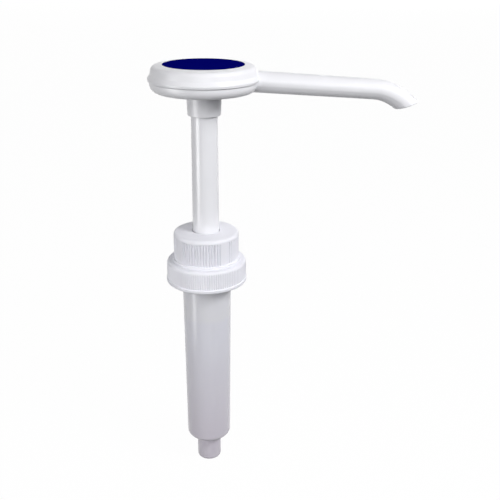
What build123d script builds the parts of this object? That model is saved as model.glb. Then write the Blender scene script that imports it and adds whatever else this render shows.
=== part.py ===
"""Hand pump for a jug: a round palm head with a drooping spout on a stem that slides in a barrel.

A screw cap clamps the barrel's flange on the jug's neck, and the barrel hangs inside the jug.
+Z runs up the pump's axis, +X runs along the spout, and z = 0 is the plane of the jug's lip, where the
neck gasket seats. The plunger is drawn fully up, at rest. All lengths are millimetres, all angles degrees.
"""

import math
import os

from build123d import *

# Screw cap, for a 38 mm continuous-thread neck, whose wall and thread fill the room outside the barrel
neck_room = 6.1
cap_wall = 1.55
cap_rib_depth = 0.3
cap_rib_sink = 0.15
cap_rib_count = 110
cap_bead = 0.35
cap_bead_height = 2.0
cap_plate = 1.45
cap_skirt = 7.8
cap_shoulder = 1.4
cap_hole_gap = 0.4
cap_play = 0.15

# Neck gasket and the barrel's flange
gasket_thickness = 1.0
gasket_gap = 0.3
flange_thickness = 1.3
flange_gap = 1.6

# Barrel, whose bore leaves room outside the stem
bore_room = 3.7
barrel_wall = 1.35
barrel_draft = 0.85
barrel_depth = 105.2
barrel_corner = 2.4
floor_thickness = 3.0

# Foot valve
spigot_wall = 1.92
spigot_length = 15.8
spigot_chamfer = 0.5
seat_flange_gap = 1.4
seat_flange = 2.0
seat_press_gap = 0.03
seat_chamfer = 0.9
dip_tube_r = 4.8
dip_tube_depth = 13.0
inlet_r = 2.4
inlet_ball_r = 4.0
inlet_ball_lift = 3.0
outlet_r = 1.9
outlet_ball_r = 3.2
plug_wall = 0.87
outlet_ball_lift = 3.0
ball_seat_gap = 0.15
ball_side_gap = 0.5
cage_wall = 1.5
cage_flange = 1.8
cage_window = 4.6
cage_press_gap = 0.05

# Retaining collar
collar_wall = 4.05
collar_height = 15.85
collar_web = 2.8
collar_dome = 0.8
collar_edge = 1.5
collar_thread_gap = 0.1
collar_hole_gap = 0.45
collar_lip = 0.8
collar_lip_height = 1.55
flute_width = 0.95
flute_root = 0.4
flute_depth = 0.45
flute_groups = 4
flutes_in_group = 15
flute_pitch_deg = 5.0
flute_land_deg = -52.4

# Stem guide and wiper
guide_flange = 1.4
guide_sleeve = 28.3
guide_slip = 0.1
guide_land = 4.0
guide_relief = 1.0
wiper_thickness = 2.2
wiper_height = 2.8
wiper_slip = 0.1
wiper_pocket_gap = 0.1

# Stem
stroke = 60.2
stop_gap = 0.3
stem_wall = 2.5
stem_draft = 0.5
stem_engagement = 12.0
stem_press_gap = 0.03
stem_foot = 2.5
stem_foot_gap = 2.2

# Piston and outlet valve
piston_length = 10.0
piston_play = 0.1
piston_slip = 0.05
piston_swivel_gap = 0.08
piston_lip = 0.85
piston_cup = 3.4
piston_core = 1.5
valve_spigot = 10.0
valve_flange = 2.0
valve_flange_gap = 1.2
keeper_height = 2.0
keeper_bar = 1.2
keeper_rim = 0.7

# Return spring
wire_r = 0.5
wire_sides = 6
spring_turns = 7
spring_end_turns = 1
spring_end_gap = 0.5
spring_seat_gap = 0.1

# Palm head: base, cover and label
socket_wall = 1.7
socket_flare = 0.4
socket_chamfer = 0.3
hub_gap = 0.3
elbow_rise = 3.0
pan_r = 26.5
pan_wall = 1.8
pan_corner = 4.95
pan_slope_deg = 7.0
seam_rise = 16.8
seam_gap = 0.2
cover_height = 7.9
cover_wall = 1.3
cover_rim_height = 2.1
cover_rim_out = 0.55
cover_crease_height = 3.3
cover_crease_in = 0.4
cover_side_in = 0.75
cover_side_drop = 3.0
cover_crown = 3.0
cover_crown_drop = 0.45
tongue_depth = 2.0
tongue_thickness = 1.2
tongue_gap = 0.15
label_border = 6.5
label_thickness = 0.45
label_gap = 0.05

# Spout
spout_rise = 1.0
spout_droop_deg = 3.2
spout_root_gap = 0.5
spout_root_r = 5.4
spout_end_r = 5.0
spout_bore_r = 3.6
spout_straight = 83.1
spout_bend_r = 26.0
spout_bend_deg = 38.8
spout_tip = 1.75
spout_lip_slope_deg = 23.8
spout_gap = 0.1
nipple_reach = 17.0
nipple_wall = 1.05
nipple_gap = 0.05

# Radii, from the outlet ball outward to the screw cap
outlet_bore_r = outlet_ball_r + ball_side_gap
plug_r = outlet_bore_r + plug_wall
stem_bore_r = plug_r + stem_press_gap
stem_low_r = stem_bore_r + stem_wall
stem_top_r = stem_low_r - stem_draft
bore_r = stem_low_r + bore_room
barrel_foot_r = bore_r + barrel_wall
barrel_top_r = barrel_foot_r + barrel_draft
collar_r = barrel_top_r + collar_wall
cap_bore_r = barrel_top_r + neck_room
cap_root_r = cap_bore_r + cap_wall
cap_crest_r = cap_root_r + cap_rib_depth
cap_bead_r = cap_crest_r + cap_bead
flange_r = cap_bore_r - flange_gap
neck_r = barrel_top_r
guide_hole_r = stem_low_r + guide_slip
collar_hole_r = stem_low_r + collar_hole_gap
cage_bore_r = inlet_ball_r + ball_side_gap
cage_r = cage_bore_r + cage_wall
stem_foot_r = bore_r - stem_foot_gap
valve_flange_r = bore_r - valve_flange_gap
seat_flange_r = bore_r - seat_flange_gap
spigot_r = dip_tube_r + spigot_wall
spring_mean_r = 0.5 * (cage_r + bore_r)
socket_low_r = stem_top_r + socket_wall
socket_top_r = socket_low_r + socket_flare
hub_r = socket_low_r
nipple_r = spout_bore_r - nipple_gap
nipple_bore_r = nipple_r - nipple_wall
label_r = pan_r - label_border
cover_rim_r = pan_r + cover_rim_out
cover_crease_r = pan_r - cover_crease_in
cover_side_r = pan_r - cover_side_in
cover_crown_r = cover_side_r - cover_crown

# Levels up the axis from the jug's lip
flange_top = gasket_thickness + flange_thickness
cap_bottom = -cap_skirt
cap_plate_bottom = flange_top + cap_play
cap_top = cap_plate_bottom + cap_plate
collar_bottom = cap_top + cap_play
collar_top = collar_bottom + collar_height
web_bottom = collar_top - collar_web
neck_top = web_bottom - guide_flange
guide_bottom = neck_top - guide_sleeve
foot_top = guide_bottom - stop_gap
foot_bottom = foot_top - stem_foot
piston_top = foot_bottom - piston_play
piston_bottom = piston_top - piston_length
valve_flange_top = piston_bottom - piston_play
valve_bottom = valve_flange_top - valve_flange
barrel_bottom = -barrel_depth
barrel_floor = barrel_bottom + floor_thickness
spigot_bottom = barrel_bottom - spigot_length
seat_top = barrel_floor + seat_flange
cage_flange_top = seat_top + cage_flange
socket_bottom = collar_top + stroke + stop_gap
stem_top = socket_bottom + stem_engagement
seam = socket_bottom + seam_rise
pan_rim = seam - seam_gap
head_top = seam + cover_height
label_bottom = head_top - label_thickness
cover_inside = label_bottom - cover_wall
hub_top = cover_inside - hub_gap

# The spout's axis leaves the pump's axis at a small droop, in the XZ plane
droop = math.radians(spout_droop_deg)
spout_axis_z = seam + spout_rise
spout_plane = Plane(
    origin=(0, 0, spout_axis_z),
    x_dir=(0, 1, 0),
    z_dir=(math.cos(droop), 0, -math.sin(droop)),
)
spout_root = hub_r + spout_root_gap
spout_channel_r = spout_root_r + spout_gap
spout_channel_length = 2 * pan_r - spout_root


def stem_radius(z):
    """Outer radius of the drafted stem at a height."""
    share = (z - foot_bottom) / (stem_top - foot_bottom)
    return stem_low_r + share * (stem_top_r - stem_low_r)


def seated_ball_rise(ball_r, hole_r):
    """How far a ball's centre stands above the face of its 45 degree countersunk seat."""
    return math.sqrt(2) * ball_r - hole_r - seat_chamfer + ball_seat_gap


inlet_ball_z = seat_top + seated_ball_rise(inlet_ball_r, inlet_r)
cage_roof_bottom = inlet_ball_z + inlet_ball_r + inlet_ball_lift + stop_gap
cage_top = cage_roof_bottom + cage_wall
outlet_ball_z = valve_flange_top + seated_ball_rise(outlet_ball_r, outlet_r)
keeper_bottom = outlet_ball_z + outlet_ball_r + outlet_ball_lift + stop_gap

os.makedirs("parts", exist_ok=True)


# Barrel: drafted tube with a flange for the jug's neck, and a plain neck above it for the retaining collar
with BuildPart() as barrel:
    with BuildSketch(Plane.XZ):
        with BuildLine():
            Polyline(
                (spigot_r, barrel_bottom),
                (barrel_foot_r, barrel_bottom),
                (barrel_top_r, 0),
                (barrel_top_r, gasket_thickness),
                (flange_r, gasket_thickness),
                (flange_r, flange_top),
                (neck_r, flange_top),
                (neck_r, neck_top),
                (bore_r, neck_top),
                (bore_r, barrel_floor),
                (spigot_r, barrel_floor),
                close=True,
            )
        make_face()
    revolve(axis=Axis.Z)
    foot_edge = barrel.edges().filter_by(GeomType.CIRCLE).group_by(Axis.Z)[0].sort_by(SortBy.RADIUS)[-1]
    fillet(foot_edge, min(barrel_corner, 0.9 * floor_thickness))
barrel.part.label = "barrel"
export_step(barrel.part, "parts/barrel.step")


# Neck gasket: flat ring under the flange, squeezed on the jug's lip
with BuildPart() as neck_gasket:
    with BuildSketch():
        Circle(flange_r)
        Circle(barrel_top_r + gasket_gap, mode=Mode.SUBTRACT)
    extrude(amount=gasket_thickness)
neck_gasket.part.label = "neck_gasket"
export_step(neck_gasket.part, "parts/neck_gasket.step")


# Foot valve seat: stepped bush through the barrel's floor, a countersunk ball seat above the tube's socket
with BuildPart() as foot_valve_seat:
    shank_r = spigot_r - seat_press_gap
    socket_roof = spigot_bottom + dip_tube_depth
    with BuildSketch(Plane.XZ):
        with BuildLine():
            Polyline(
                (dip_tube_r, spigot_bottom),
                (shank_r - spigot_chamfer, spigot_bottom),
                (shank_r, spigot_bottom + spigot_chamfer),
                (shank_r, barrel_floor),
                (seat_flange_r, barrel_floor),
                (seat_flange_r, seat_top),
                (inlet_r + seat_chamfer, seat_top),
                (inlet_r, seat_top - seat_chamfer),
                (inlet_r, socket_roof),
                (dip_tube_r, socket_roof),
                close=True,
            )
        make_face()
    revolve(axis=Axis.Z)
foot_valve_seat.part.label = "foot_valve_seat"
export_step(foot_valve_seat.part, "parts/foot_valve_seat.step")


# Inlet ball: lies in the foot valve's seat until suction lifts it
with BuildPart() as inlet_ball:
    with Locations((0, 0, inlet_ball_z)):
        Sphere(inlet_ball_r)
inlet_ball.part.label = "inlet_ball"
export_step(inlet_ball.part, "parts/inlet_ball.step")


# Inlet ball cage: pressed in over the seat, slotted for the flow, with a flange that carries the spring
with BuildPart() as inlet_ball_cage:
    with BuildSketch(Plane.XZ):
        with BuildLine():
            Polyline(
                (cage_bore_r, seat_top),
                (bore_r - cage_press_gap, seat_top),
                (bore_r - cage_press_gap, cage_flange_top),
                (cage_r, cage_flange_top),
                (cage_r, cage_top),
                (0, cage_top),
                (0, cage_roof_bottom),
                (cage_bore_r, cage_roof_bottom),
                close=True,
            )
        make_face()
    revolve(axis=Axis.Z)
    chamfer(inlet_ball_cage.edges().group_by(Axis.Z)[-1], 0.5 * cage_wall)
    with BuildSketch(Plane.XY.offset(cage_flange_top)):
        Rectangle(2 * bore_r, cage_window)
        Rectangle(cage_window, 2 * bore_r)
    extrude(amount=cage_roof_bottom - cage_flange_top, mode=Mode.SUBTRACT)
inlet_ball_cage.part.label = "inlet_ball_cage"
export_step(inlet_ball_cage.part, "parts/inlet_ball_cage.step")


# Screw cap: finely ribbed skirt that turns freely between the barrel's flange and the retaining collar
def rib_corner(index):
    """A corner of the skirt's ribbed outline, on the root and the crest circle by turns."""
    radius = (cap_root_r, cap_crest_r)[index % 2]
    turn = math.pi * index / cap_rib_count
    return radius * math.cos(turn), radius * math.sin(turn)


with BuildPart() as screw_cap:
    bead_top = cap_bottom + cap_bead_height
    ribs_top = cap_top - cap_shoulder
    with BuildSketch(Plane.XY.offset(cap_bottom)):
        Circle(cap_bead_r)
    extrude(amount=cap_bead_height)
    chamfer(screw_cap.edges().group_by(Axis.Z)[-1], 0.8 * cap_bead)
    fillet(screw_cap.edges().group_by(Axis.Z)[0], 0.3 * cap_bead_height)
    with BuildSketch(Plane.XY.offset(cap_bottom)):
        Circle(cap_root_r - cap_rib_sink)
    extrude(amount=cap_top - cap_bottom)
    fillet(screw_cap.edges().group_by(Axis.Z)[-1], cap_shoulder)
    with BuildSketch(Plane.XY.offset(bead_top)):
        Polygon(*[rib_corner(index) for index in range(2 * cap_rib_count)], align=None)
    extrude(amount=ribs_top - bead_top)
    with BuildSketch(Plane.XY.offset(cap_bottom)):
        Circle(cap_bore_r)
    extrude(amount=cap_plate_bottom - cap_bottom, mode=Mode.SUBTRACT)
    with Locations((0, 0, cap_top)):
        Hole(neck_r + cap_hole_gap)
screw_cap.part.label = "screw_cap"
export_step(screw_cap.part, "parts/screw_cap.step")


# Retaining collar: nut with a domed top on the barrel's neck, fluted in groups with plain lands between
with BuildPart() as retaining_collar:
    lip_top = collar_bottom + collar_lip_height
    flutes_top = collar_top - collar_dome - collar_edge
    thread_r = neck_r + collar_thread_gap
    with BuildSketch(Plane.XZ):
        with BuildLine():
            dome = TangentArc(
                (collar_hole_r, collar_top), (collar_r - collar_edge, collar_top - collar_dome), tangent=(1, 0)
            )
            edge_round = TangentArc(
                dome @ 1, (collar_r, collar_top - collar_dome - collar_edge), tangent=dome % 1
            )
            Polyline(
                edge_round @ 1,
                (collar_r, lip_top),
                (collar_r + collar_lip, lip_top),
                (collar_r + collar_lip, collar_bottom),
                (thread_r, collar_bottom),
                (thread_r, web_bottom),
                (collar_hole_r, web_bottom),
                (collar_hole_r, collar_top),
            )
        make_face()
    revolve(axis=Axis.Z)
    group_deg = 360 / flute_groups
    flutes_deg = flute_pitch_deg * (flutes_in_group - 1)
    first_flute_deg = flute_land_deg + 0.5 * (group_deg - flutes_deg)
    with BuildSketch(Plane.XY.offset(lip_top)):
        for group in range(flute_groups):
            with PolarLocations(
                collar_r,
                flutes_in_group,
                start_angle=first_flute_deg + group * group_deg,
                angular_range=flutes_deg,
                endpoint=True,
            ):
                Polygon(
                    (-flute_depth, -0.5 * flute_root),
                    (flute_depth, 0.5 * flute_root - flute_width),
                    (flute_depth, flute_width - 0.5 * flute_root),
                    (-flute_depth, 0.5 * flute_root),
                    align=None,
                )
    extrude(amount=flutes_top - lip_top, mode=Mode.SUBTRACT)
retaining_collar.part.label = "retaining_collar"
export_step(retaining_collar.part, "parts/retaining_collar.step")


# Stem guide: flanged bush in the barrel's neck, with two lands on the stem and a pocket for the wiper
with BuildPart() as stem_guide:
    sleeve_r = bore_r - guide_slip
    wiper_lip_r = stem_radius(web_bottom - wiper_height) + wiper_slip
    wiper_r = wiper_lip_r + wiper_thickness
    pocket_r = wiper_r + wiper_pocket_gap
    pocket_bottom = web_bottom - wiper_height - wiper_pocket_gap
    with BuildSketch(Plane.XZ):
        with BuildLine():
            Polyline(
                (guide_hole_r, guide_bottom),
                (sleeve_r, guide_bottom),
                (sleeve_r, neck_top),
                (neck_r, neck_top),
                (neck_r, web_bottom),
                (pocket_r, web_bottom),
                (pocket_r, pocket_bottom),
                (guide_hole_r, pocket_bottom),
                (guide_hole_r, pocket_bottom - guide_land),
                (guide_hole_r + guide_relief, pocket_bottom - guide_land - guide_relief),
                (guide_hole_r + guide_relief, guide_bottom + guide_land + guide_relief),
                (guide_hole_r, guide_bottom + guide_land),
                close=True,
            )
        make_face()
    revolve(axis=Axis.Z)
stem_guide.part.label = "stem_guide"
export_step(stem_guide.part, "parts/stem_guide.step")


# Stem wiper: soft ring in the guide's pocket, with a lip that strokes the stem
with BuildPart() as stem_wiper:
    wiper_bottom = web_bottom - wiper_height
    wiper_relief_r = 0.5 * (wiper_lip_r + wiper_r)
    with BuildSketch(Plane.XZ):
        with BuildLine():
            Polyline(
                (wiper_relief_r, wiper_bottom),
                (wiper_r, wiper_bottom),
                (wiper_r, web_bottom),
                (wiper_relief_r, web_bottom),
                (wiper_lip_r, web_bottom - 0.3 * wiper_height),
                (wiper_lip_r, web_bottom - 0.6 * wiper_height),
                close=True,
            )
        make_face()
    revolve(axis=Axis.Z)
stem_wiper.part.label = "stem_wiper"
export_step(stem_wiper.part, "parts/stem_wiper.step")


# Stem: drafted tube from the head's socket down to a foot that stops against the guide
with BuildPart() as stem:
    with BuildSketch(Plane.XZ):
        with BuildLine():
            Polyline(
                (stem_bore_r, foot_bottom),
                (stem_foot_r, foot_bottom),
                (stem_foot_r, foot_top),
                (stem_radius(foot_top), foot_top),
                (stem_top_r, stem_top),
                (stem_bore_r, stem_top),
                close=True,
            )
        make_face()
    revolve(axis=Axis.Z)
stem.part.label = "stem"
export_step(stem.part, "parts/stem.step")


# Outlet valve body: plug in the stem's lower end, with the ball's chamber and a flange under the piston
with BuildPart() as outlet_valve_body:
    plug_top = foot_bottom + valve_spigot
    with BuildSketch(Plane.XZ):
        with BuildLine():
            Polyline(
                (outlet_r, valve_bottom),
                (valve_flange_r, valve_bottom),
                (valve_flange_r, valve_flange_top),
                (stem_low_r, valve_flange_top),
                (stem_low_r, foot_bottom),
                (plug_r, foot_bottom),
                (plug_r, plug_top),
                (outlet_bore_r, plug_top),
                (outlet_bore_r, valve_flange_top),
                (outlet_r + seat_chamfer, valve_flange_top),
                (outlet_r, valve_flange_top - seat_chamfer),
                close=True,
            )
        make_face()
    revolve(axis=Axis.Z)
outlet_valve_body.part.label = "outlet_valve_body"
export_step(outlet_valve_body.part, "parts/outlet_valve_body.step")


# Outlet ball: shuts the stem off while the plunger rises
with BuildPart() as outlet_ball:
    with Locations((0, 0, outlet_ball_z)):
        Sphere(outlet_ball_r)
outlet_ball.part.label = "outlet_ball"
export_step(outlet_ball.part, "parts/outlet_ball.step")


# Outlet ball keeper: small barred ring pressed in above the ball
with BuildPart() as outlet_ball_keeper:
    keeper_r = outlet_bore_r - stem_press_gap
    with BuildSketch(Plane.XY.offset(keeper_bottom)):
        Circle(keeper_r)
        Circle(keeper_r - keeper_rim, mode=Mode.SUBTRACT)
        Rectangle(2 * keeper_r - keeper_rim, keeper_bar)
    extrude(amount=keeper_height)
outlet_ball_keeper.part.label = "outlet_ball_keeper"
export_step(outlet_ball_keeper.part, "parts/outlet_ball_keeper.step")


# Piston seal: soft double cup on the valve's hub, wiping the barrel both ways
with BuildPart() as piston_seal:
    core_r = stem_low_r + piston_swivel_gap
    core_edge_r = core_r + piston_core
    lip_r = bore_r - piston_slip
    lip_root_r = lip_r - 0.5 * piston_lip
    groove_r = 0.5 * (core_edge_r + lip_r - piston_lip)
    with BuildSketch(Plane.XZ):
        with BuildLine():
            Polyline(
                (core_r, piston_bottom),
                (core_edge_r, piston_bottom),
                (groove_r, piston_bottom + piston_cup),
                (lip_r - piston_lip, piston_bottom),
                (lip_r, piston_bottom),
                (lip_root_r, piston_bottom + piston_cup),
                (lip_root_r, piston_top - piston_cup),
                (lip_r, piston_top),
                (lip_r - piston_lip, piston_top),
                (groove_r, piston_top - piston_cup),
                (core_edge_r, piston_top),
                (core_r, piston_top),
                close=True,
            )
        make_face()
    revolve(axis=Axis.Z)
piston_seal.part.label = "piston_seal"
export_step(piston_seal.part, "parts/piston_seal.step")


# Return spring: six-sided wire wound between the cage's flange and the valve's flange, with closed ends
spring_bottom = cage_flange_top + wire_r + spring_seat_gap
spring_top = valve_bottom - wire_r - spring_seat_gap
end_pitch = 2 * wire_r + spring_end_gap
open_turns = spring_turns - 2 * spring_end_turns
open_pitch = (spring_top - spring_bottom - 2 * spring_end_turns * end_pitch) / open_turns


def spring_height(turns):
    """Height of the wire's centre after a number of turns, closed at both ends and open between them."""
    closed = min(turns, spring_end_turns) + max(turns - spring_end_turns - open_turns, 0)
    return spring_bottom + closed * end_pitch + (turns - closed) * open_pitch


def spring_point(turns):
    """Point on the wire's centre line after a number of turns."""
    angle = 2 * math.pi * turns
    return Vector(spring_mean_r * math.cos(angle), spring_mean_r * math.sin(angle), spring_height(turns))


def spring_way(turns):
    """Direction of the wire after a number of turns, eased over a quarter turn where the pitch changes."""
    angle = 2 * math.pi * turns
    low, high = max(turns - 0.125, 0), min(turns + 0.125, spring_turns)
    climb = spring_height(high) - spring_height(low)
    run = 2 * math.pi * spring_mean_r * (high - low)
    return Vector(-run * math.sin(angle), run * math.cos(angle), climb).normalized()


def biarc_middle(start, start_way, end, end_way):
    """Where the two arcs meet that leave start and reach end along the given ways, and their way there."""
    span = end - start
    a = 2 * (start_way.dot(end_way) - 1)
    b = -2 * span.dot(start_way + end_way)
    c = span.dot(span)
    reach = (-b - math.sqrt(b * b - 4 * a * c)) / (2 * a)
    near, far = start + start_way * reach, end - end_way * reach
    return (near + far) * 0.5, (far - near).normalized()


with BuildPart() as return_spring:
    with BuildLine() as wire_line:
        for half in range(2 * spring_turns):
            start, end = spring_point(half / 2), spring_point((half + 1) / 2)
            start_way, end_way = spring_way(half / 2), spring_way((half + 1) / 2)
            middle, middle_way = biarc_middle(start, start_way, end, end_way)
            TangentArc(start, middle, tangent=start_way)
            TangentArc(middle, end, tangent=middle_way)
    with BuildSketch(Plane(origin=spring_point(0), z_dir=spring_way(0))):
        RegularPolygon(wire_r, wire_sides)
    sweep(path=wire_line.wire(), clean=False)
return_spring.part.label = "return_spring"
export_step(return_spring.part, "parts/return_spring.step")

points_a_turn = 24
wire_points = [wire_line.wire() @ (i / (points_a_turn * spring_turns)) for i in range(points_a_turn * spring_turns)]
least_gap = min(
    (wire_points[j] - wire_points[i]).length - 2 * wire_r
    for i in range(len(wire_points))
    for j in range(i + points_a_turn // 2, len(wire_points))
)
print(f"return spring: least gap between turns {least_gap:.2f} mm")


# Head base: round pan with the stem's socket, the elbow hub and the nipple that carries the spout
pan_slope = math.radians(pan_slope_deg)
pan_corner_r = pan_r - pan_corner


def pan_corner_end(corner):
    """Where a rounded corner of the pan, turned from upright, runs into its sloping floor."""
    return pan_corner_r + corner * math.sin(pan_slope), pan_rim - corner * math.cos(pan_slope)


def pan_height_at(radius, corner):
    """Height of the pan's floor, or of its underside, at a radius inside that corner."""
    end_r, end_z = pan_corner_end(corner)
    return end_z - (end_r - radius) * math.tan(pan_slope)


pan_bottom = pan_height_at(socket_top_r, pan_corner)
pan_floor = pan_height_at(hub_r, pan_corner - pan_wall)
with BuildPart() as head_base:
    with BuildSketch(Plane.XZ):
        with BuildLine():
            outside = TangentArc((pan_r, pan_rim), pan_corner_end(pan_corner), tangent=(0, -1))
            inside = Line((pan_r - pan_wall, pan_rim), pan_corner_end(pan_corner - pan_wall))
            Line(outside @ 0, inside @ 0)
            Polyline(
                outside @ 1,
                (0, pan_height_at(0, pan_corner)),
                (0, pan_height_at(0, pan_corner - pan_wall)),
                inside @ 1,
            )
        make_face()
    revolve(axis=Axis.Z)
    with BuildSketch(spout_plane.offset(spout_root)):
        Circle(spout_channel_r)
    extrude(amount=spout_channel_length, mode=Mode.SUBTRACT)
    with BuildSketch(Plane.XZ):
        with BuildLine():
            Polyline(
                (0, socket_bottom),
                (socket_low_r - socket_chamfer, socket_bottom),
                (socket_low_r, socket_bottom + socket_chamfer),
                (socket_top_r, pan_bottom),
                (hub_r, pan_floor),
                (hub_r, hub_top),
                (0, hub_top),
                close=True,
            )
        make_face()
    revolve(axis=Axis.Z)
    with BuildSketch(spout_plane):
        Circle(nipple_r)
    extrude(amount=nipple_reach)
    with BuildSketch(Plane.XZ):
        with BuildLine():
            Polyline(
                (0, socket_bottom),
                (stem_radius(socket_bottom) + stem_press_gap, socket_bottom),
                (stem_top_r + stem_press_gap, stem_top),
                (stem_bore_r, stem_top),
                (stem_bore_r, spout_axis_z + elbow_rise),
                (0, spout_axis_z + elbow_rise),
                close=True,
            )
        make_face()
    revolve(axis=Axis.Z, mode=Mode.SUBTRACT)
    with BuildSketch(spout_plane):
        Circle(nipple_bore_r)
    extrude(amount=nipple_reach, mode=Mode.SUBTRACT)
head_base.part.label = "head_base"
export_step(head_base.part, "parts/head_base.step")


# Head cover: domed shell with a beaded rim, a tongue inside the pan and a recess for the label
with BuildPart() as head_cover:
    recess_r = label_r + label_gap
    tongue_bottom = seam - tongue_depth
    bevel_r, bevel_z = pan_corner_end(pan_corner - pan_wall)
    bevel_share = (pan_rim - tongue_bottom) / (pan_rim - bevel_z)
    tongue_r = pan_r - pan_wall - bevel_share * (pan_r - pan_wall - bevel_r) - tongue_gap
    tongue_inner_r = tongue_r - tongue_thickness
    with BuildSketch(Plane.XZ):
        with BuildLine():
            top = Polyline(
                (0, cover_inside),
                (0, label_bottom),
                (recess_r, label_bottom),
                (recess_r, head_top),
                (cover_crown_r, head_top - cover_crown_drop),
            )
            crown = TangentArc(top @ 1, (cover_side_r, head_top - cover_side_drop), tangent=top % 1)
            side = Polyline(
                crown @ 1,
                (cover_crease_r, seam + cover_crease_height),
                (cover_rim_r, seam + cover_rim_height),
            )
            rim = TangentArc(side @ 1, (pan_r, seam), tangent=side % 1)
            Polyline(
                rim @ 1,
                (tongue_r, seam),
                (tongue_r, tongue_bottom),
                (tongue_inner_r, tongue_bottom),
                (tongue_inner_r, cover_inside),
                (0, cover_inside),
            )
        make_face()
    revolve(axis=Axis.Z)
    with BuildSketch(spout_plane.offset(spout_root)):
        Circle(spout_channel_r)
    extrude(amount=spout_channel_length, mode=Mode.SUBTRACT)
head_cover.part.label = "head_cover"
export_step(head_cover.part, "parts/head_cover.step")


# Label disc: thin disc that fills the cover's recess
with BuildPart() as label_disc:
    with BuildSketch(Plane.XY.offset(label_bottom)):
        Circle(label_r)
    extrude(amount=label_thickness)
label_disc.part.label = "label_disc"
export_step(label_disc.part, "parts/label_disc.step")


# Spout: tapered tube pushed over the nipple, bent down near its end and cut to a slanted lip
with BuildPart() as spout:
    lip_slope = math.radians(spout_lip_slope_deg)
    bend_start = spout_plane.offset(spout_straight)
    tip_length = spout_tip + 2 * spout_end_r
    with BuildSketch(spout_plane.offset(spout_root)):
        Circle(spout_root_r)
    with BuildSketch(bend_start):
        Circle(spout_end_r)
    loft()
    with BuildLine(Plane.XZ) as end_line:
        bend = JernArc(bend_start.origin, spout_plane.z_dir, spout_bend_r, -spout_bend_deg)
        Line(bend @ 1, bend @ 1 + (bend % 1) * tip_length)
    with BuildSketch(bend_start):
        Circle(spout_end_r)
    sweep(path=end_line.wire())
    with BuildSketch(spout_plane.offset(spout_root)):
        Circle(spout_bore_r)
    extrude(amount=spout_straight - spout_root, mode=Mode.SUBTRACT)
    with BuildSketch(bend_start):
        Circle(spout_bore_r)
    sweep(path=end_line.wire(), mode=Mode.SUBTRACT)
    lip_plane = Plane(
        origin=bend @ 1 + (bend % 1) * spout_tip,
        z_dir=(math.sin(lip_slope), 0, -math.cos(lip_slope)),
    )
    split(bisect_by=lip_plane, keep=Keep.BOTTOM)
spout.part.label = "spout"
export_step(spout.part, "parts/spout.step")
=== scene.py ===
# %% [markdown]
# # A hand pump for a water jug
# The pump is white moulded plastic from top to bottom: a round palm head with a drooping spout, a stem that
# slides in a barrel, a fluted collar that keeps the stem in, and a finely ribbed cap that screws on the jug.
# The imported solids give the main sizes. This lesson dresses them: it turns, sweeps and ribs finer meshes over
# the solids, gives each plastic its own finish, and sets the light and the camera.

import math

import bmesh
import bpy
from mathutils import Matrix, Vector


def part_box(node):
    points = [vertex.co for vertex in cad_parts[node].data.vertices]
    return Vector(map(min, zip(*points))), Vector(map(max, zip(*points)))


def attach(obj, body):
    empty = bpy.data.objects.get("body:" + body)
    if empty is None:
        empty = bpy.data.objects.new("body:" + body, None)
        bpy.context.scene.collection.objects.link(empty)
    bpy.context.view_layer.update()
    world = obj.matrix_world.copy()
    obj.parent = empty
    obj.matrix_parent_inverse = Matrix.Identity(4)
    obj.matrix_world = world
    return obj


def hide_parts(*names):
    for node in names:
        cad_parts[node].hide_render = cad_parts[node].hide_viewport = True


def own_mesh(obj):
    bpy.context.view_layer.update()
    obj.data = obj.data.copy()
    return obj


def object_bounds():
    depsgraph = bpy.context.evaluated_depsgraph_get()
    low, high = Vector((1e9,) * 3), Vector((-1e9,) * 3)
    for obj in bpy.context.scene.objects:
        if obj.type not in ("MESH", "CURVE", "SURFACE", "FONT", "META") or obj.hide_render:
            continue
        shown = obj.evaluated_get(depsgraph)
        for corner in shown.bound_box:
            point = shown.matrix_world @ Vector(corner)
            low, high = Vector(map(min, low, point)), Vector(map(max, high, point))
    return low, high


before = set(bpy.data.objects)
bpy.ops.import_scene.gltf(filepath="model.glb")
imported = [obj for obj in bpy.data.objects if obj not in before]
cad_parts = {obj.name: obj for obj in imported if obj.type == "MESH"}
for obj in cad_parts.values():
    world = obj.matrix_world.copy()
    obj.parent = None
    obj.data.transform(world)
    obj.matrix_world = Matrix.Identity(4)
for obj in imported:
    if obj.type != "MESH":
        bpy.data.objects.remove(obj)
cad_low, cad_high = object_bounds()
MM = 0.001
print("nodes:", sorted(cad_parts))
print("size in mm:", [round(x / MM, 1) for x in cad_high - cad_low])

# %% [markdown]
# ## The camera
# The photograph looks down at the pump from a little above the head, so the cap and collar open up into
# ellipses while the head shows mostly its side. The lens, height and pitch were worked out from how much
# those ellipses open at different heights. A camera could be pointed with a constraint, but a plain matrix
# keeps the small roll of the photograph.

# %% Set the camera
PHOTO_PIXELS = 500
FOCAL_PIXELS = 753.0
SENSOR_MM = 36.0
CAMERA_PITCH_DEG = 21.91
CAMERA_ROLL_DEG = 0.43
CAMERA_PLACE_MM = (23.1, -370.1, 157.4)
NEAREST_SEEN = 0.01

scene = bpy.context.scene
camera_data = bpy.data.cameras.new("photo_camera")
camera_data.sensor_width = SENSOR_MM
camera_data.sensor_fit = "HORIZONTAL"
camera_data.lens = FOCAL_PIXELS / PHOTO_PIXELS * SENSOR_MM
camera_data.clip_start = NEAREST_SEEN
camera = bpy.data.objects.new("photo_camera", camera_data)
scene.collection.objects.link(camera)
level_to_pitch = Matrix.Rotation(math.radians(90 - CAMERA_PITCH_DEG), 4, "X")
roll = Matrix.Rotation(math.radians(CAMERA_ROLL_DEG), 4, "Z")
camera.matrix_world = Matrix.Translation(Vector(CAMERA_PLACE_MM) * MM) @ level_to_pitch @ roll
scene.camera = camera
print("lens:", round(camera_data.lens, 1), "mm")

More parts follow.
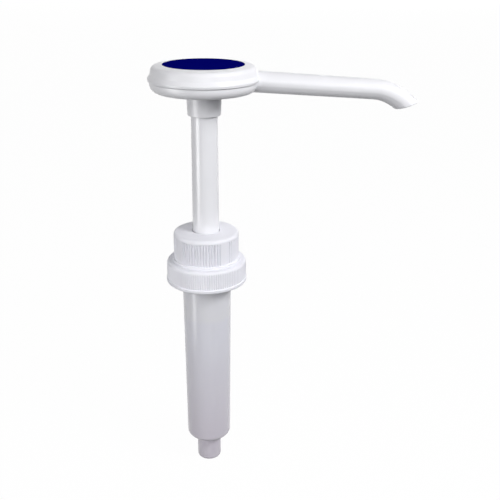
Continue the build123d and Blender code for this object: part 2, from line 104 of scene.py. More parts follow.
# %% [markdown]
# ## Writing materials
# Every finish below is a small tree of nodes. Three helpers keep the trees readable: one turns the hex
# colours that a picture program shows into the linear values that Blender computes with, one adds a node
# together with its settings and links, and one starts an empty material.

# %% Turn a hex colour to linear, add a node, start a material


def linear(hex_colour):
    """The linear colour, with alpha, of an sRGB hex value."""
    parts = [int(hex_colour[i:i + 2], 16) / 255 for i in (1, 3, 5)]
    return [c / 12.92 if c <= 0.04045 else ((c + 0.055) / 1.055) ** 2.4 for c in parts] + [1.0]


def add(tree, kind, settings=None, inputs=None):
    """Add a node to a tree, set its properties, and fill or link its inputs by name or number."""
    node = tree.nodes.new(kind)
    for key, value in (settings or {}).items():
        setattr(node, key, value)
    for key, value in (inputs or {}).items():
        if isinstance(value, bpy.types.NodeSocket):
            tree.links.new(value, node.inputs[key])
        else:
            node.inputs[key].default_value = value
    return node


def new_material(name):
    """An empty material, its tree and its output node."""
    material = bpy.data.materials.new(name)
    material.use_nodes = True
    material.node_tree.nodes.clear()
    return material, material.node_tree, material.node_tree.nodes.new("ShaderNodeOutputMaterial")


print("white paper in linear:", [round(c, 3) for c in linear("#FAFAFA")])

# %% [markdown]
# ## Floor and air
# The photograph has a pure white ground, while the undersides of the spout and the head are dark. A sweep of
# lit paper would give the ground, but it would brighten the undersides as well. So the floor is drawn nearly
# white to the camera and to reflections only, and sends little light back up. From below it is clear, so that
# a view from underneath still shows the pump. The air is white to look at too. As a light it is a band of
# pale cloth all round, brightest about 20 degrees up, nearly dark at the floor and dark overhead. It is
# brighter on the right and behind than on the left and in front.

# %% Lay the floor
FLOOR_SIZE = 30.0

half = FLOOR_SIZE / 2
floor_corners = [(-half, -half, 0), (half, -half, 0), (half, half, 0), (-half, half, 0)]
floor_mesh = bpy.data.meshes.new("studio_floor")
floor_mesh.from_pydata(floor_corners, [], [(0, 1, 2, 3)])
floor = bpy.data.objects.new("studio_floor", floor_mesh)
floor.location.z = cad_low.z
scene.collection.objects.link(floor)
print("floor at", round(floor.location.z / MM, 1), "mm")

# %% Paper the floor
FLOOR_GLOW = 0.98


def looked_at(tree):
    """1 for rays from the camera, in reflections and through clear things, 0 for rays that gather light."""
    ray = add(tree, "ShaderNodeLightPath")
    seen = ray.outputs["Is Camera Ray"]
    for kind in ("Is Glossy Ray", "Is Transmission Ray"):
        either = add(tree, "ShaderNodeMath", {"operation": "MAXIMUM"}, {0: seen, 1: ray.outputs[kind]})
        seen = either.outputs[0]
    return seen


paper, tree, out = new_material("white_studio_paper")
seen = looked_at(tree)
share = add(tree, "ShaderNodeMath", {"operation": "MULTIPLY"}, {0: seen, 1: FLOOR_GLOW})
grey = add(tree, "ShaderNodeBsdfDiffuse", None, {"Color": linear("#3A3A3C")})
white = add(tree, "ShaderNodeBsdfDiffuse", None, {"Color": linear("#FFFFFF")})
base = add(tree, "ShaderNodeMixShader", None, {0: seen, 1: grey.outputs[0], 2: white.outputs[0]})
glow = add(tree, "ShaderNodeEmission", None, {"Color": linear("#FFFFFF"), "Strength": 1.0})
above = add(tree, "ShaderNodeMixShader", None, {0: share.outputs[0], 1: base.outputs[0], 2: glow.outputs[0]})
below = add(tree, "ShaderNodeNewGeometry").outputs["Backfacing"]
clear = add(tree, "ShaderNodeBsdfTransparent")
sheet = add(tree, "ShaderNodeMixShader", None, {0: below, 1: above.outputs[0], 2: clear.outputs[0]})
tree.links.new(sheet.outputs[0], out.inputs["Surface"])
floor_mesh.materials.append(paper)
print("floor finish:", paper.name)

# %% Fill the air
# Heights on the cloth are sines of the angle up. CLOTH_RIGHT is the brightness at the right end of the band,
# which falls to nothing at the left end, and CLOTH_BACK is what the back adds to it.
CLOTH_BRIGHT_AT, CLOTH_ENDS_AT = 0.35, 0.65
CLOTH_FOOT = 0.1
CLOTH_RIGHT, CLOTH_BACK = 1.46, 0.6

world = bpy.data.worlds.new("studio_air")
world.use_nodes = True
scene.world = world
air = world.node_tree
air.nodes.clear()
seen = looked_at(air)
way = add(air, "ShaderNodeSeparateXYZ", None, {0: add(air, "ShaderNodeTexCoord").outputs["Generated"]})
rising = add(air, "ShaderNodeMapRange", None,
             {"Value": way.outputs["Z"], "From Min": 0.0, "From Max": CLOTH_BRIGHT_AT,
              "To Min": CLOTH_FOOT, "To Max": 1.0})
sinking = add(air, "ShaderNodeMapRange", None,
              {"Value": way.outputs["Z"], "From Min": CLOTH_BRIGHT_AT, "From Max": CLOTH_ENDS_AT,
               "To Min": 1.0, "To Max": 0.0})
band = add(air, "ShaderNodeMath", {"operation": "MULTIPLY"}, {0: rising.outputs[0], 1: sinking.outputs[0]})
right = add(air, "ShaderNodeMapRange", None,
            {"Value": way.outputs["X"], "From Min": -1.0, "From Max": 1.0,
             "To Min": 0.0, "To Max": CLOTH_RIGHT})
back = add(air, "ShaderNodeMapRange", None,
           {"Value": way.outputs["Y"], "From Min": 0.0, "From Max": 1.0,
            "To Min": 0.0, "To Max": CLOTH_BACK})
cloth = add(air, "ShaderNodeMath", {"operation": "ADD"}, {0: right.outputs[0], 1: back.outputs[0]})
level = add(air, "ShaderNodeMath", {"operation": "MULTIPLY"}, {0: band.outputs[0], 1: cloth.outputs[0]})
soft = add(air, "ShaderNodeBackground", None, {"Color": linear("#F8F9FD"), "Strength": level.outputs[0]})
bright = add(air, "ShaderNodeBackground", None, {"Color": linear("#FFFFFF"), "Strength": 1.0})
mixed = add(air, "ShaderNodeMixShader", None, {0: seen, 1: soft.outputs[0], 2: bright.outputs[0]})
add(air, "ShaderNodeOutputWorld", None, {"Surface": mixed.outputs[0]})
print("air:", world.name)

# %% [markdown]
# ## Lights
# The right half of the cap and the barrel is the brighter one, and the head throws its shadow down and to the
# left, so a broad soft light hangs to the right of the camera and high up. A second one fills in from the
# front, and a weak one lifts the left side from low down. A thin bright line runs down the left of the stem
# and the barrel: a tall narrow light draws it, and shows in reflections only. A large low light far behind
# keeps the back of the pump from going grey. It is left out of reflections, which show white air there.

# %% Hang the lights


def soft_light(name, turn_deg, rise_deg, reach, width, height, watts):
    """A rectangular soft light: degrees to the right of the camera, degrees up, metres from the pump."""
    data = bpy.data.lights.new(name, "AREA")
    data.shape = "RECTANGLE"
    data.size = width
    data.size_y = height
    data.energy = watts
    lamp = bpy.data.objects.new(name, data)
    lamp.visible_camera = False
    turn, rise = math.radians(turn_deg), math.radians(rise_deg)
    way = Vector((math.sin(turn) * math.cos(rise), -math.cos(turn) * math.cos(rise), math.sin(rise)))
    lamp.location = way * reach
    lamp.rotation_euler = (-way).to_track_quat("-Z", "Y").to_euler()
    scene.collection.objects.link(lamp)
    return lamp


soft_light("broad_light_right", turn_deg=55.0, rise_deg=42.0, reach=0.75, width=0.28, height=0.25, watts=3.05)
soft_light("fill_light_front", turn_deg=6.0, rise_deg=30.0, reach=0.9, width=0.5, height=0.4, watts=2.6)
soft_light("weak_light_left", turn_deg=-58.0, rise_deg=-2.0, reach=0.5, width=0.3, height=0.2, watts=0.92)
strip = soft_light("tall_light_left", turn_deg=-60.0, rise_deg=0.0, reach=0.16,
                   width=0.05, height=0.29, watts=0.17)
strip.visible_diffuse = False
back_lamp = soft_light("low_light_back", turn_deg=180.0, rise_deg=4.0, reach=5.0,
                       width=3.9, height=1.1, watts=130.0)
back_lamp.visible_glossy = False
scene.view_settings.view_transform = "Standard"

# %% [markdown]
# ## White polypropylene
# The head, spout and stem are injection moulded in a polished mould. That leaves a soft gloss, a very faint
# waviness where the plastic shrank as it cooled, and a slightly uneven gloss. The stem slides in its guide
# and is the smoothest and shiniest of them. The collar and cap come from a mould with a finer, duller
# surface. Three separate materials could be written out, but one recipe serves them all, with a different
# gloss and waviness.

# %% Mould the white plastics
# The grain of a mould is much finer than this. It is drawn as coarse as it needs to be to show.
GRAIN_MM = 0.7
CLOUD_MM = 14.0
SINK_DEPTH_MM = 0.03


def moulded_white(name, colour, shade, gloss, dull, wave_mm):
    """White polypropylene: clouds of a slightly greyer white, uneven gloss, and shallow shrinkage waves."""
    material, tree, out = new_material(name)
    place = add(tree, "ShaderNodeTexCoord").outputs["Object"]
    clouds = add(tree, "ShaderNodeTexNoise", None,
                 {"Vector": place, "Scale": 1 / (CLOUD_MM * MM), "Detail": 3.0})
    tint = add(tree, "ShaderNodeMix", {"data_type": "RGBA"},
               {0: clouds.outputs["Fac"], 6: linear(colour), 7: linear(shade)})
    grain = add(tree, "ShaderNodeTexNoise", None,
                {"Vector": place, "Scale": 1 / (GRAIN_MM * MM), "Detail": 2.0})
    rough = add(tree, "ShaderNodeMapRange", None,
                {"Value": grain.outputs["Fac"], "To Min": gloss, "To Max": dull})
    waves = add(tree, "ShaderNodeTexNoise", None,
                {"Vector": place, "Scale": 1 / (wave_mm * MM), "Detail": 1.0})
    bump = add(tree, "ShaderNodeBump", None,
               {"Strength": 0.3, "Distance": SINK_DEPTH_MM * MM, "Height": waves.outputs["Fac"]})
    shader = add(tree, "ShaderNodeBsdfPrincipled", None,
                 {"Base Color": tint.outputs[2], "Roughness": rough.outputs[0], "IOR": 1.49,
                  "Normal": bump.outputs[0]})
    tree.links.new(shader.outputs[0], out.inputs["Surface"])
    return material


head_white = moulded_white("polypropylene_polished_white", colour="#EEEEF1", shade="#E8E8EC",
                           gloss=0.3, dull=0.36, wave_mm=6.0)
stem_white = moulded_white("polypropylene_polished_stem", colour="#EEEEF1", shade="#E8E8EC",
                           gloss=0.18, dull=0.24, wave_mm=20.0)
cap_white = moulded_white("polypropylene_satin_white", colour="#F1F1F7", shade="#EAEAF1",
                          gloss=0.46, dull=0.56, wave_mm=4.0)
print("white finishes:", head_white.name, stem_white.name, cap_white.name)

# %% [markdown]
# ## Natural polyethylene
# The barrel and its foot are the same family of plastic without the white pigment: milky, a little grey, with
# light that seeps in and out of the wall. Faint streaks run along the barrel, the way the plastic flowed in.
# Where the stem's guide stands close behind the wall, the top of the barrel is paler, and towards its foot
# the colour turns darker and a little pinker. Subsurface scattering carries the light through the wall. A wall
# that can really be seen through would show the guide by itself. Here the paler band is simply part of the
# colour.

# %% Mould the natural plastic
STREAK_MM = 3.5
STREAK_SQUEEZE = 0.12
STREAK_DEPTH_MM = 0.04
GUIDE_FOOT_MM, GUIDE_SHOWS_MM = -30, -27
GREY_FROM_MM, GREY_TO_MM = -40, -110

natural, tree, out = new_material("polyethylene_natural_milky")
place = add(tree, "ShaderNodeTexCoord").outputs["Object"]
along = add(tree, "ShaderNodeMapping", None, {"Vector": place, "Scale": (1.0, 1.0, STREAK_SQUEEZE)})
streaks = add(tree, "ShaderNodeTexNoise", None,
              {"Vector": along.outputs[0], "Scale": 1 / (STREAK_MM * MM), "Detail": 3.0})
height = add(tree, "ShaderNodeSeparateXYZ", None, {0: place}).outputs["Z"]
foot = add(tree, "ShaderNodeMapRange", None,
           {"Value": height, "From Min": GREY_FROM_MM * MM, "From Max": GREY_TO_MM * MM})
behind = add(tree, "ShaderNodeMapRange", None,
             {"Value": height, "From Min": GUIDE_FOOT_MM * MM, "From Max": GUIDE_SHOWS_MM * MM})
tint = add(tree, "ShaderNodeMix", {"data_type": "RGBA"},
           {0: streaks.outputs["Fac"], 6: linear("#E2E2EA"), 7: linear("#DCDCE4")})
tint = add(tree, "ShaderNodeMix", {"data_type": "RGBA"},
           {0: behind.outputs[0], 6: tint.outputs[2], 7: linear("#E1E1E6")})
tint = add(tree, "ShaderNodeMix", {"data_type": "RGBA"},
           {0: foot.outputs[0], 6: tint.outputs[2], 7: linear("#D3CDD7")})
bump = add(tree, "ShaderNodeBump", None,
           {"Strength": 0.3, "Distance": STREAK_DEPTH_MM * MM, "Height": streaks.outputs["Fac"]})
shader = add(tree, "ShaderNodeBsdfPrincipled", None,
             {"Base Color": tint.outputs[2], "Roughness": 0.24, "IOR": 1.51, "Normal": bump.outputs[0],
              "Subsurface Weight": 0.3, "Subsurface Radius": (1.0, 1.0, 1.1), "Subsurface Scale": 2.0 * MM})
tree.links.new(shader.outputs[0], out.inputs["Surface"])
print("natural finish:", natural.name)

# %% [markdown]
# ## Label film, seals and steel
# The disc in the head is a navy film with a dull laminate: no gloss to speak of, so that it stays dark even
# though the camera skims over it. The seals are a soft elastomer with a faint grain. The balls and the spring
# are stainless steel, drawn and polished, with a slightly uneven gloss.

# %% Laminate the label
# The grain of such a film is finer than this. It is drawn as coarse as it needs to be to show.
FILM_GRAIN_MM, FILM_DEPTH_MM = 0.5, 0.01

label_film, tree, out = new_material("laminated_film_navy")
place = add(tree, "ShaderNodeTexCoord").outputs["Object"]
grain = add(tree, "ShaderNodeTexNoise", None,
            {"Vector": place, "Scale": 1 / (FILM_GRAIN_MM * MM), "Detail": 3.0})
tint = add(tree, "ShaderNodeMix", {"data_type": "RGBA"},
           {0: grain.outputs["Fac"], 6: linear("#03057C"), 7: linear("#02035E")})
bump = add(tree, "ShaderNodeBump", None,
           {"Strength": 0.2, "Distance": FILM_DEPTH_MM * MM, "Height": grain.outputs["Fac"]})
shader = add(tree, "ShaderNodeBsdfPrincipled", None,
             {"Base Color": tint.outputs[2], "Roughness": 0.75, "IOR": 1.5, "Normal": bump.outputs[0],
              "Specular IOR Level": 0.0})
tree.links.new(shader.outputs[0], out.inputs["Surface"])
print("label finish:", label_film.name)

# %% Mould the seals, draw the steel
# Both are finer on the real pieces, and are drawn coarser to show.
RUBBER_GRAIN_MM, RUBBER_DEPTH_MM = 0.4, 0.02
DRAWN_LINE_MM = 0.3

seal_rubber, tree, out = new_material("thermoplastic_elastomer_white")
place = add(tree, "ShaderNodeTexCoord").outputs["Object"]
grain = add(tree, "ShaderNodeTexNoise", None,
            {"Vector": place, "Scale": 1 / (RUBBER_GRAIN_MM * MM), "Detail": 2.0})
tint = add(tree, "ShaderNodeMix", {"data_type": "RGBA"},
           {0: grain.outputs["Fac"], 6: linear("#DCDCD8"), 7: linear("#CFCFCA")})
bump = add(tree, "ShaderNodeBump", None,
           {"Strength": 0.3, "Distance": RUBBER_DEPTH_MM * MM, "Height": grain.outputs["Fac"]})
shader = add(tree, "ShaderNodeBsdfPrincipled", None,
             {"Base Color": tint.outputs[2], "Roughness": 0.62, "IOR": 1.45, "Normal": bump.outputs[0]})
tree.links.new(shader.outputs[0], out.inputs["Surface"])

steel, tree, out = new_material("stainless_steel_drawn")
place = add(tree, "ShaderNodeTexCoord").outputs["Object"]
lines = add(tree, "ShaderNodeTexNoise", None,
            {"Vector": place, "Scale": 1 / (DRAWN_LINE_MM * MM), "Detail": 2.0})
rough = add(tree, "ShaderNodeMapRange", None, {"Value": lines.outputs["Fac"], "To Min": 0.18, "To Max": 0.34})
shader = add(tree, "ShaderNodeBsdfPrincipled", None,
             {"Base Color": linear("#C4C5C8"), "Metallic": 1.0, "Roughness": rough.outputs[0]})
tree.links.new(shader.outputs[0], out.inputs["Surface"])
print("other finishes:", seal_rubber.name, steel.name)

# %% [markdown]
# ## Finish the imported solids
# The valves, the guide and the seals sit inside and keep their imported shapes. They only need their finish.
# The other nodes get theirs too, and are then replaced by the finer pieces below.

# %% Give each node its finish
finish_of = {
    "barrel": natural, "foot_valve_seat": natural, "inlet_ball_cage": natural, "stem_guide": natural,
    "outlet_valve_body": natural, "outlet_ball_keeper": natural, "neck_gasket": seal_rubber,
    "stem_wiper": seal_rubber, "piston_seal": seal_rubber, "screw_cap": cap_white,
    "retaining_collar": cap_white, "stem": stem_white, "head_base": head_white, "head_cover": head_white,
    "spout": head_white, "label_disc": label_film, "return_spring": steel, "inlet_ball": steel,
    "outlet_ball": steel,
}
for node, finish in finish_of.items():
    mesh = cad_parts[node].data
    mesh.materials.clear()
    mesh.materials.append(finish)
print("finished nodes:", len(finish_of))

# %% [markdown]
# ## Turning round pieces
# Nearly every piece is round, so it can be drawn as half a cross section and turned about the axis, as on a
# lathe. Real mouldings have no knife edges: each corner of the section carries a small radius, which catches
# a thin line of light. A bevel modifier could round the edges afterwards, but rounding the drawn section
# gives each corner its own radius. A section is a list of corners, each with its radius, height and rounding
# in millimetres.

# %% Round a section's corners
ARC_STEPS = 6


def round_corners(section):
    """The outline of a closed section whose corners are (radius, height, rounding), in millimetres."""
    outline = []
    for i, (r, z, rounding) in enumerate(section):
        here = Vector((r, z))
        if rounding == 0:
            outline.append(here)
            continue
        back = (Vector(section[i - 1][:2]) - here).normalized()
        ahead = (Vector(section[(i + 1) % len(section)][:2]) - here).normalized()
        half_angle = back.angle(ahead) / 2
        reach = rounding / math.tan(half_angle)
        centre = here + (back + ahead).normalized() * (rounding / math.sin(half_angle))
        start = here + back * reach - centre
        end = here + ahead * reach - centre
        swing = math.atan2(start.x * end.y - start.y * end.x, start.dot(end))
        for step in range(ARC_STEPS + 1):
            outline.append(centre + Matrix.Rotation(swing * step / ARC_STEPS, 2) @ start)
    return outline


print("points on a rounded corner:", ARC_STEPS + 1)

# %% Turn a section about the axis
ON_AXIS = 1e-6


def mesh_from(name, work):
    """Turn the faces outward and hand the work over as a mesh."""
    bmesh.ops.recalc_face_normals(work, faces=work.faces)
    mesh = bpy.data.meshes.new(name)
    work.to_mesh(mesh)
    work.free()
    return mesh


def turn_mesh(name, section, segments, ripple=None):
    """A rounded section turned about the axis. ripple(angle, radius, height) moves a point in or out."""
    work = bmesh.new()
    rings = []
    for r, z in round_corners(section):
        if r < ON_AXIS:
            rings.append([work.verts.new((0, 0, z * MM))])
            continue
        ring = []
        for segment in range(segments):
            angle = 2 * math.pi * segment / segments
            reach = (r + (ripple(angle, r, z) if ripple else 0)) * MM
            ring.append(work.verts.new((reach * math.cos(angle), reach * math.sin(angle), z * MM)))
        rings.append(ring)
    for ring, after in zip(rings, rings[1:] + rings[:1]):
        if len(ring) == 1 and len(after) == 1:
            continue
        for i in range(segments):
            j = (i + 1) % segments
            loop = [ring[i % len(ring)], ring[j % len(ring)], after[j % len(after)], after[i % len(after)]]
            work.faces.new(list(dict.fromkeys(loop)))
    return mesh_from(name, work)


print("points nearer to the axis than", ON_AXIS, "mm become one")

# %% [markdown]
# ## Dressing a node
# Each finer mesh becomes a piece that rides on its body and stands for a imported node. Smooth shading with
# weighted normals keeps the flat faces flat and lets only the rounded corners bend the light. Edges that turn
# by more than a set angle stay sharp.

# %% Dress a node and measure it
SHARP_DEG = 38.0


def dress(mesh, node, body, finish):
    """Make a mesh the piece that stands for a node: smooth, finished, and riding on its body."""
    piece = bpy.data.objects.new(mesh.name, mesh)
    scene.collection.objects.link(piece)
    mesh.shade_smooth()
    mesh.set_sharp_from_angle(angle=math.radians(SHARP_DEG))
    mesh.materials.clear()
    mesh.materials.append(finish)
    weigh = piece.modifiers.new("even_shading", "WEIGHTED_NORMAL")
    weigh.keep_sharp = True
    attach(piece, body)
    if node:
        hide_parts(node)
    print(piece.name, "faces:", len(mesh.polygons))
    return piece


def heights(node):
    """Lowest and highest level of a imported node, in millimetres."""
    low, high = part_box(node)
    return low[2] / MM, high[2] / MM


def widest(node):
    """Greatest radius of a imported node, in millimetres, across the spout."""
    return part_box(node)[1][1] / MM


print("the head's top is at", round(heights("head_cover")[1], 1), "mm")

# %% [markdown]
# ## The stem and the barrel
# Both are drafted tubes: a little wider at one end, so that they slip out of their mould. The stem is widest
# at its foot, where a rim stops it under the guide. The barrel is widest at the top, where its flange sits on
# the jug's neck, and its lower corner is well rounded.

# %% Turn the stem
STEM_BORE_R = 4.6
STEM_FOOT_R, STEM_TOP_R = 7.1, 6.6
STEM_RIM_TALL = 2.5

stem_low, stem_high = heights("stem")
rim_r, rim_top = widest("stem"), stem_low + STEM_RIM_TALL
stem_section = [
    (STEM_BORE_R, stem_low, 0.2), (rim_r, stem_low, 0.3), (rim_r, rim_top, 0.3),
    (STEM_FOOT_R, rim_top, 0.2), (STEM_TOP_R, stem_high, 0.4), (STEM_BORE_R, stem_high, 0.3),
]
stem_mesh = turn_mesh("stem_tube", stem_section, segments=128)
dress(stem_mesh, "stem", "plunger", stem_white)

# %% Turn the barrel
BARREL_TOP_R, BARREL_FOOT_R = 13.0, 12.15
BARREL_BORE_R, SEAT_HOLE_R = 10.8, 6.74
BARREL_FOOT_TALL, BARREL_FOOT_ROUND = 3.0, 2.4
FLANGE_LOW, FLANGE_HIGH = 1.0, 2.3

barrel_low, barrel_high = heights("barrel")
flange_r, bore_low = widest("barrel"), barrel_low + BARREL_FOOT_TALL
barrel_section = [
    (SEAT_HOLE_R, barrel_low, 0.1), (BARREL_FOOT_R, barrel_low, BARREL_FOOT_ROUND), (BARREL_TOP_R, 0.0, 0),
    (BARREL_TOP_R, FLANGE_LOW, 0.2), (flange_r, FLANGE_LOW, 0.2), (flange_r, FLANGE_HIGH, 0.2),
    (BARREL_TOP_R, FLANGE_HIGH, 0.2), (BARREL_TOP_R, barrel_high, 0.3), (BARREL_BORE_R, barrel_high, 0.3),
    (BARREL_BORE_R, bore_low, 0.3), (SEAT_HOLE_R, bore_low, 0.1),
]
barrel_mesh = turn_mesh("barrel_tube", barrel_section, segments=128)
dress(barrel_mesh, "barrel", "pump_body", natural)

# %% [markdown]
# ## The spigot under the barrel
# The foot valve's seat is pressed through the barrel's floor, and its lower half shows as the spigot that
# takes the dip tube. Its mouth is chamfered so that the tube finds its way in, and its upper end is a cone on
# which the inlet ball sits.

# %% Turn the spigot
SPIGOT_R, SPIGOT_FOOT_R, SPIGOT_TAPER_TALL = 6.69, 6.4, 1.2
TUBE_R, TUBE_DEEP = 4.8, 13.0
TUBE_MOUTH_R, TUBE_MOUTH_DEEP = 5.2, 0.4
VALVE_R, VALVE_CONE_R, VALVE_CONE_DEEP = 2.4, 3.3, 0.9
SEAT_RIM_TALL = 2.0

seat_low, seat_high = heights("foot_valve_seat")
seat_rim_r, seat_rim_low = widest("foot_valve_seat"), seat_high - SEAT_RIM_TALL
tube_end = seat_low + TUBE_DEEP
seat_section = [
    (TUBE_MOUTH_R, seat_low, 0.1), (SPIGOT_FOOT_R, seat_low, 0.35),
    (SPIGOT_R, seat_low + SPIGOT_TAPER_TALL, 0.5), (SPIGOT_R, seat_rim_low, 0.1),
    (seat_rim_r, seat_rim_low, 0.1), (seat_rim_r, seat_high, 0.2), (VALVE_CONE_R, seat_high, 0.1),
    (VALVE_R, seat_high - VALVE_CONE_DEEP, 0.2), (VALVE_R, tube_end, 0.1), (TUBE_R, tube_end, 0.2),
    (TUBE_R, seat_low + TUBE_MOUTH_DEEP, 0.2),
]
seat_mesh = turn_mesh("spigot_and_seat", seat_section, segments=96)
dress(seat_mesh, "foot_valve_seat", "pump_body", natural)

# %% [markdown]
# ## The retaining collar
# The collar is a nut with a domed top. Its wall is fluted for grip in four groups, with plain lands between
# them. The flutes could be cut with a boolean, sixty times over. It is simpler to move the turned points in
# and out with the angle: a wave inside a group, nothing on a land, fading out at the flutes' ends. The wave
# is raised to a power, which leaves narrow, deep flutes between broad, flat ribs. The lip reaches down until
# only a fine gap is left above the cap.

# %% Shape the flutes
COLLAR_R = 17.05
FLUTE_DEPTH = 0.8
FLUTE_NARROW = 3
FLUTE_PITCH = math.radians(5.0)
FLUTES_IN_GROUP = 15
FLUTE_POINTS = 12
FLUTE_FADE_LOW, FLUTE_FADE_HIGH = 0.5, 0.7
LAND_MIDDLE = math.radians(-52.4)
LIP_TALL, LIP_DROP, DOME_TALL = 1.2, 0.1, 2.3
WALL_BAND = 0.05

collar_low, collar_high = heights("retaining_collar")
flutes_low, flutes_high = collar_low + LIP_TALL, collar_high - DOME_TALL


def fade(value, low, high):
    """0 below low, 1 above high, smooth between."""
    share = min(max((value - low) / (high - low), 0), 1)
    return share * share * (3 - 2 * share)


def flute(angle, r, z):
    """How far the collar's wall steps in at an angle: flutes in four groups, ending short of both rims."""
    if abs(r - COLLAR_R) >= WALL_BAND:
        return 0
    group = math.pi / 2
    off_middle = (angle - LAND_MIDDLE) % group - group / 2
    if abs(off_middle) > FLUTE_PITCH * FLUTES_IN_GROUP / 2:
        return 0
    wave = 0.5 + 0.5 * math.cos(2 * math.pi * off_middle / FLUTE_PITCH)
    low_end = fade(z, flutes_low, flutes_low + FLUTE_FADE_LOW)
    high_end = 1 - fade(z, flutes_high - FLUTE_FADE_HIGH, flutes_high)
    return -FLUTE_DEPTH * wave ** FLUTE_NARROW * low_end * high_end


print("flutes from", round(flutes_low, 2), "to", round(flutes_high, 2), "mm")

# %% Turn the collar
COLLAR_BORE_R, COLLAR_HOLE_R = 13.1, 7.25
COLLAR_TOP_THICK = 2.8
DOME_EDGE_DROP, DOME_ROUND = 0.45, 1.8
DOME_KNEE_R, DOME_KNEE_DROP = 11.0, 0.05

lip_r, lip_low = widest("retaining_collar"), collar_low - LIP_DROP
inside_top = collar_high - COLLAR_TOP_THICK
collar_section = [(COLLAR_BORE_R, lip_low, 0.2), (lip_r, lip_low, 0.05), (lip_r, flutes_low, 0.45),
                  (COLLAR_R, flutes_low, 0.12)]
collar_section += [(COLLAR_R, flutes_low + rise, 0) for rise in (0.25, 0.5)]
collar_section += [(COLLAR_R, flutes_high - drop, 0) for drop in (0.7, 0.5, 0.35, 0.2, 0)]
collar_section += [
    (COLLAR_R, collar_high - DOME_EDGE_DROP, DOME_ROUND), (DOME_KNEE_R, collar_high - DOME_KNEE_DROP, 0),
    (COLLAR_HOLE_R, collar_high, 0.25), (COLLAR_HOLE_R, inside_top, 0.2), (COLLAR_BORE_R, inside_top, 0.1),
]
flute_places = round(2 * math.pi / FLUTE_PITCH)
collar_mesh = turn_mesh("fluted_collar", collar_section, segments=flute_places * FLUTE_POINTS, ripple=flute)
dress(collar_mesh, "retaining_collar", "pump_body", cap_white)

# %% [markdown]
# ## The screw cap
# The cap's skirt has a hundred and ten fine ribs between its rounded shoulder and a plain bead at the bottom.
# They are made like the flutes: a wave that runs with the angle and fades at both ends.

# %% Shape the ribs
CAP_ROOT_R = 20.65
RIB_HEIGHT = 0.3
RIB_COUNT = 110
RIB_POINTS = 8
RIB_FADE, SHOULDER_FADE = 0.3, 0.5
RIBS_ABOVE_FOOT, RIBS_BELOW_TOP = 2.0, 1.3
RIB_BAND_IN, RIB_BAND_OUT = 0.35, 0.02

cap_low, cap_high = heights("screw_cap")
ribs_low, ribs_high = cap_low + RIBS_ABOVE_FOOT, cap_high - RIBS_BELOW_TOP


def rib(angle, r, z):
    """How far the skirt stands out at an angle: fine ribs between the bead and the shoulder."""
    if not CAP_ROOT_R - RIB_BAND_IN < r < CAP_ROOT_R + RIB_BAND_OUT:
        return 0
    wave = 0.5 + 0.5 * math.cos(RIB_COUNT * angle)
    low_end = fade(z, ribs_low, ribs_low + RIB_FADE)
    high_end = 1 - fade(z, ribs_high - RIB_FADE, ribs_high + SHOULDER_FADE)
    return RIB_HEIGHT * wave * low_end * high_end


print("ribs from", round(ribs_low, 2), "to", round(ribs_high, 2), "mm")

# %% Turn the cap
CAP_BORE_R, CAP_HOLE_R = 19.1, 13.4
CAP_TOP_THICK = 1.45
BEAD_SLANT, SHOULDER_ROUND = 0.25, 1.2

bead_r, cap_ceiling = widest("screw_cap"), cap_high - CAP_TOP_THICK
cap_section = [(CAP_BORE_R, cap_low, 0.2), (bead_r, cap_low, 0.6), (bead_r, ribs_low - BEAD_SLANT, 0.3),
               (CAP_ROOT_R, ribs_low, 0.05)]
cap_section += [(CAP_ROOT_R, ribs_low + rise, 0) for rise in (0.15, 0.3)]
cap_section += [(CAP_ROOT_R, ribs_high - drop, 0) for drop in (0.3, 0.1)]
cap_section += [
    (CAP_ROOT_R, cap_high, SHOULDER_ROUND), (CAP_HOLE_R, cap_high, 0.25), (CAP_HOLE_R, cap_ceiling, 0.1),
    (CAP_BORE_R, cap_ceiling, 0.4),
]
cap_mesh = turn_mesh("ribbed_screw_cap", cap_section, segments=RIB_COUNT * RIB_POINTS, ripple=rib)
dress(cap_mesh, "screw_cap", "closure", cap_white)

# %% [markdown]
# ## The thread inside the cap
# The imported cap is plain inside. The real one carries a thread for the jug's neck: a low ridge that climbs
# one and a quarter turns and tapers out at both ends. A screw modifier could wind it, but not taper its ends,
# so one small cross section after another is placed along a helix and the rings are joined to a skin.

# %% Join rings of points to a skin


def skin(name, work, rings, closed):
    """A tube over rings of points, which closes on itself or ends in a flat face at each end."""
    for ring, after in zip(rings, rings[1:] + (rings[:1] if closed else [])):
        for i in range(len(ring)):
            j = (i + 1) % len(ring)
            work.faces.new((ring[i], ring[j], after[j], after[i]))
    if not closed:
        work.faces.new(rings[0])
        work.faces.new(rings[-1])
    return mesh_from(name, work)


print("to be skinned: thread, spout and spring")

# %% Wind the cap's thread
THREAD_PITCH = 4.2
THREAD_TURNS = 1.25
THREAD_STEPS = 120
THREAD_TALL, THREAD_LEAST, THREAD_SUNK = 0.95, 0.02, 0.1
THREAD_TAPER = 0.07
THREAD_FOOT = 2.0
# Half widths of the ridge at the wall, on its flank and at its crest, and how tall the flank is.
ROOT_HALF, FLANK_HALF, CREST_HALF = 0.95, 0.6, 0.3
FLANK_SHARE = 0.7

